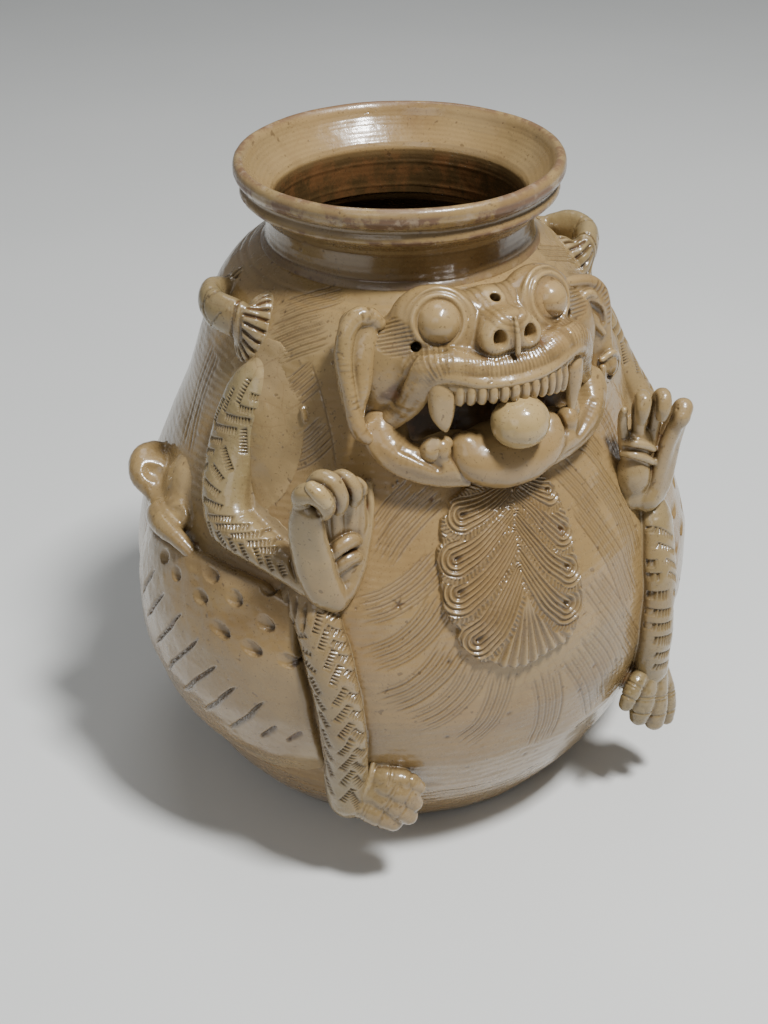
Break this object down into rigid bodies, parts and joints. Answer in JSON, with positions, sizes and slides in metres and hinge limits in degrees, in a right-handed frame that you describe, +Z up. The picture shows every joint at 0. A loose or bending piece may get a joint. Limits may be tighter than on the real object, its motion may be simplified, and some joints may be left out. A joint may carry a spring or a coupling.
{
  "type": "ceramic vase",
  "caption": "Celadon-glazed pear-shaped zun vessel with a flat base, short neck and dished mouth, carrying an applied squatting beast whose open mouth holds a ball, and two loop lugs.",
  "frame": {"origin": "centre of the flat base, on the surface the vessel stands on", "axes": "+Z up along the axis of the vessel; the beast's face looks along -Y; +X is to the right of a viewer facing the beast"},
  "size_m": [0.2526, 0.2432, 0.279],
  "materials": {
    "glaze_applied": "glossy celadon glaze",
    "glaze_body": "glossy celadon glaze",
    "glaze_bright": "glossy celadon glaze",
    "glaze_limbs": "glossy celadon glaze"
  },
  "bodies": {
    "root": {"beard_plaque": "glaze_applied", "body": "glaze_body", "ear_left": "glaze_applied", "ear_right": "glaze_applied", "eye_left": "glaze_bright", "eye_right": "glaze_bright", "fang_left": "glaze_bright", "fang_right": "glaze_bright", "forearm_left": "glaze_limbs", "forearm_right": "glaze_limbs", "forepaw_left": "glaze_limbs", "forepaw_right": "glaze_limbs", "haunch_left": "glaze_limbs", "haunch_right": "glaze_limbs", "hind_foot_left": "glaze_limbs", "hind_foot_right": "glaze_limbs", "hind_leg_left": "glaze_limbs", "hind_leg_right": "glaze_limbs", "lower_fang_left": "glaze_bright", "lower_fang_right": "glaze_bright", "lower_jaw": "glaze_applied", "lug_left": "glaze_applied", "lug_right": "glaze_applied", "lug_tassel_back_left": "glaze_applied", "lug_tassel_back_right": "glaze_applied", "lug_tassel_front_left": "glaze_applied", "lug_tassel_front_right": "glaze_applied", "mouth_rim": "glaze_body", "neck": "glaze_body", "nose": "glaze_applied", "pearl": "glaze_bright", "shoulder_left": "glaze_limbs", "shoulder_right": "glaze_limbs", "side_fin_left": "glaze_applied", "side_fin_right": "glaze_applied", "tongue": "glaze_bright", "upper_arm_left": "glaze_limbs", "upper_arm_right": "glaze_limbs", "upper_head": "glaze_applied", "upper_teeth": "glaze_bright"}
  },
  "joints": []
}
